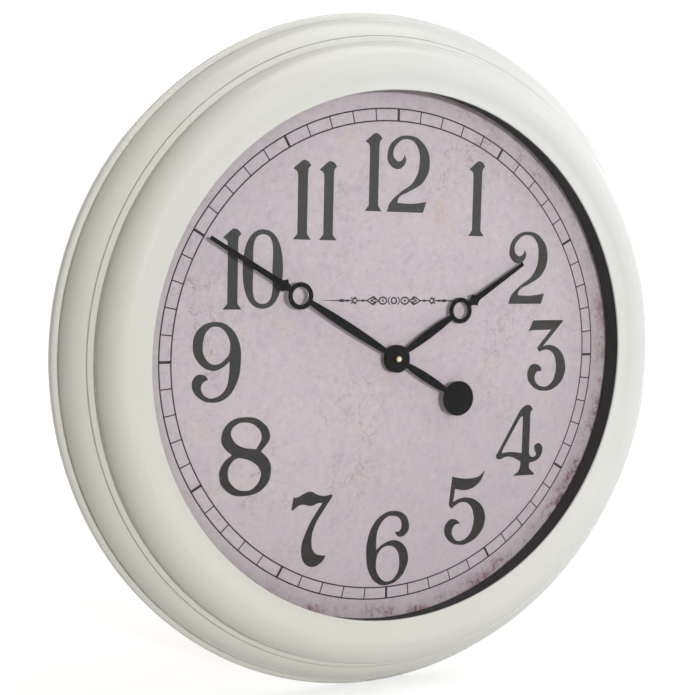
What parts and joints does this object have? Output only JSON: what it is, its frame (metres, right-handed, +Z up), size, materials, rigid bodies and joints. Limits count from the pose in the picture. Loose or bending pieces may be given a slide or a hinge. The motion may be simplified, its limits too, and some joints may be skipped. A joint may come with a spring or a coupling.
{
  "type": "wall clock",
  "caption": "Round wall clock with a moulded cream bezel of two rolls, printed dial under glass, pierced black hands and a battery quartz movement hung by a keyhole.",
  "frame": {"origin": "centre of the clock's box: on the axis of the hands, halfway between wall face and bezel crest", "axes": "+Z up to 12 o'clock, +X to 3 o'clock, +Y from the dial back to the wall"},
  "size_m": [0.6, 0.058, 0.6],
  "materials": {
    "cream_case": "satin cream paint",
    "clear_glass": "clear, polished",
    "black_spacer": "matt black",
    "dial_paper": "printed, aged",
    "fibre_board": "bare hardboard",
    "zinc_steel": "zinc plated",
    "black_rubber": "matt",
    "brass": "turned",
    "black_housing": "fine moulded grain",
    "black_hands": "satin black",
    "white_wheels": "moulded",
    "grey_knob": "moulded",
    "magnet": "sintered",
    "copper_wire": "enamelled",
    "green_board": "lacquered",
    "cell_jacket": "plain metallic jacket"
  },
  "bodies": {
    "case": {"front_bezel": "cream_case", "rear_rim": "cream_case", "rim_screws": "zinc_steel", "glass_lens": "clear_glass", "spacer_ring": "black_spacer", "dial_print": "dial_paper", "dial_board": "fibre_board", "hanger_plate": "zinc_steel", "hanger_rivets": "zinc_steel", "movement_gasket": "black_rubber", "movement_bush": "brass", "bush_washer": "brass", "bush_nut": "brass", "movement_case": "black_housing", "movement_cover": "black_housing", "stator": "zinc_steel", "coil_core": "zinc_steel", "coil_bobbin": "white_wheels", "coil_winding": "copper_wire", "circuit_board": "green_board", "positive_contact": "zinc_steel", "negative_contact": "zinc_steel"},
    "minute": {"minute_hand": "black_hands", "hand_nut": "brass", "minute_arbor": "brass", "clutch_washer": "zinc_steel"},
    "hour": {"hour_hand": "black_hands", "hour_collet": "brass", "hour_wheel": "white_wheels"},
    "minute_wheel": {"minute_wheel": "white_wheels"},
    "set_knob": {"set_knob": "grey_knob"},
    "seconds_wheel": {"seconds_wheel": "white_wheels"},
    "step_wheel": {"step_wheel": "white_wheels"},
    "rotor": {"rotor_arbor": "white_wheels", "rotor_magnet": "magnet"},
    "third_wheel": {"third_wheel": "white_wheels"},
    "centre_wheel": {"centre_wheel": "white_wheels"},
    "battery": {"battery": "cell_jacket"}
  },
  "joints": [
    {"name": "minute_spin", "type": "hinge", "parent": "case", "child": "minute", "pos_m": [0, 0, 0], "axis": [0, 1, 0], "continuous": true},
    {"name": "hour_spin", "type": "hinge", "parent": "case", "child": "hour", "pos_m": [0, 0, 0], "axis": [0, 1, 0], "continuous": true},
    {"name": "minute_wheel_spin", "type": "hinge", "parent": "case", "child": "minute_wheel", "pos_m": [-0.00945, 0, -0.00167], "axis": [0, 1, 0], "continuous": true},
    {"name": "set_knob_spin", "type": "hinge", "parent": "case", "child": "set_knob", "pos_m": [-0.01905, 0, -0.00167], "axis": [0, 1, 0], "continuous": true},
    {"name": "seconds_spin", "type": "hinge", "parent": "case", "child": "seconds_wheel", "pos_m": [0, 0, 0], "axis": [0, 1, 0], "continuous": true},
    {"name": "step_spin", "type": "hinge", "parent": "case", "child": "step_wheel", "pos_m": [0.01219, 0, 0.00107], "axis": [0, 1, 0], "continuous": true},
    {"name": "rotor_spin", "type": "hinge", "parent": "case", "child": "rotor", "pos_m": [0.01437, 0, 0.00918], "axis": [0, 1, 0], "continuous": true},
    {"name": "third_spin", "type": "hinge", "parent": "case", "child": "third_wheel", "pos_m": [-0.00578, 0, 0.01001], "axis": [0, 1, 0], "continuous": true},
    {"name": "centre_spin", "type": "hinge", "parent": "case", "child": "centre_wheel", "pos_m": [0, 0, 0], "axis": [0, 1, 0], "continuous": true},
    {"name": "battery_slide", "type": "slide", "parent": "case", "child": "battery", "axis": [0, 1, 0], "range_m": [0, 0.03]}
  ],
  "couplings": [
    {"joint": "hour_spin", "follows": "minute_spin", "ratio": 0.083333},
    {"joint": "minute_wheel_spin", "follows": "minute_spin", "ratio": -0.33333},
    {"joint": "set_knob_spin", "follows": "minute_spin", "ratio": 1},
    {"joint": "step_spin", "follows": "seconds_spin", "ratio": -5},
    {"joint": "rotor_spin", "follows": "seconds_spin", "ratio": 30},
    {"joint": "third_spin", "follows": "seconds_spin", "ratio": -0.125},
    {"joint": "centre_spin", "follows": "seconds_spin", "ratio": 0.016667}
  ]
}
